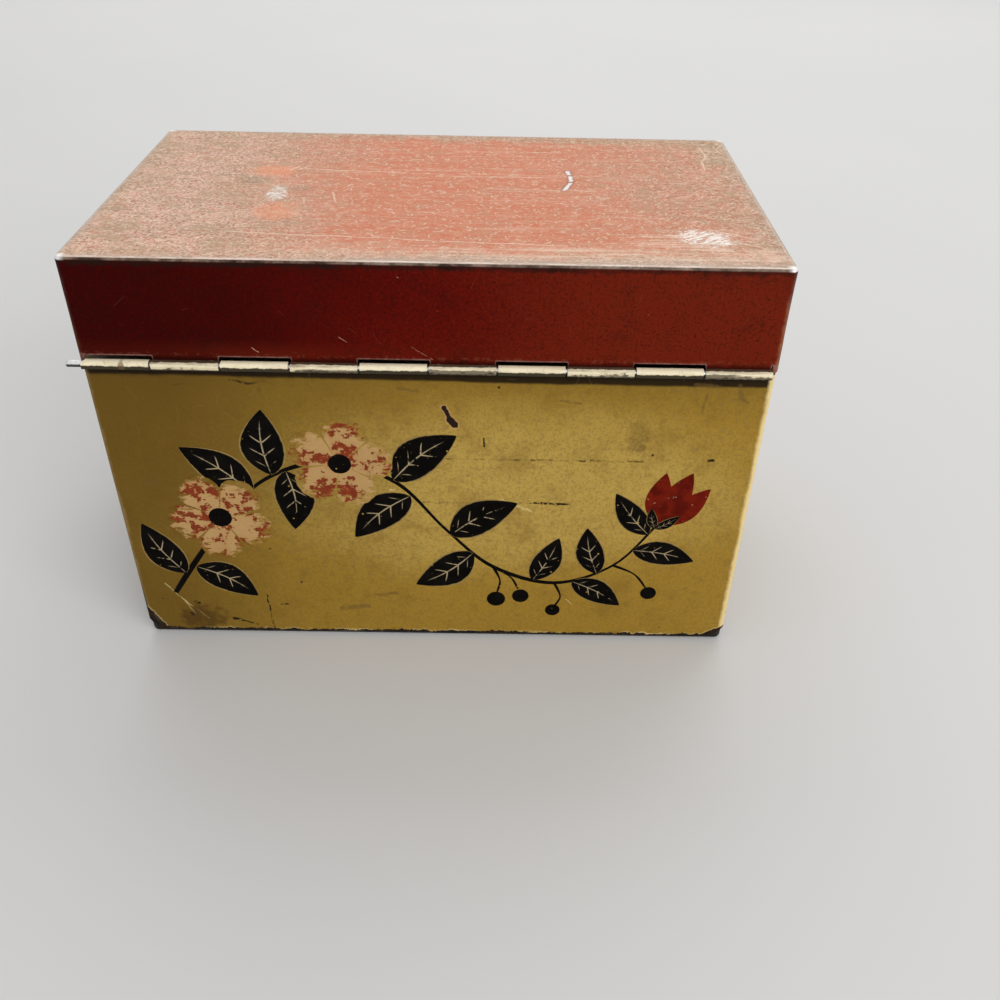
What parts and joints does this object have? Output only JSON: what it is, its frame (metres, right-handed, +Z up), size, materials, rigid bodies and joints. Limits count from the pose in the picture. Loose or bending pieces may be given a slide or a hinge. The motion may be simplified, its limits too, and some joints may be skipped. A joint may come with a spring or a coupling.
{
  "type": "recipe card box",
  "caption": "Small hinged sheet-metal box for index cards: a telescoping lid on a curled wire hinge, over a straight-walled body with an inset bottom pan.",
  "frame": {"origin": "on the table, under the middle of the body's four walls", "axes": "+Z up, +X to the right seen from the hinge side, -Y towards the hinge, +Y towards the front"},
  "size_m": [0.1387, 0.0811, 0.0937],
  "materials": {
    "yellow_enamel": "aged mustard enamel outside with printed sprigs, cream inside, worn at the bends",
    "dark_tin": "dark japanned tinplate, rubbed",
    "bare_wire": "dull steel wire",
    "red_enamel": "oxblood enamel, top rubbed to pink and tan, cream inside, bare at the edges"
  },
  "bodies": {
    "body": {"body_shell": "yellow_enamel", "bottom_pan": "dark_tin", "hinge_pin": "bare_wire"},
    "lid": {"lid_shell": "red_enamel"}
  },
  "joints": [
    {"name": "lid_hinge", "type": "hinge", "parent": "body", "child": "lid", "pos_m": [0, -0.04021, 0.0722], "axis": [1, 0, 0], "range_deg": [0, 180]}
  ]
}
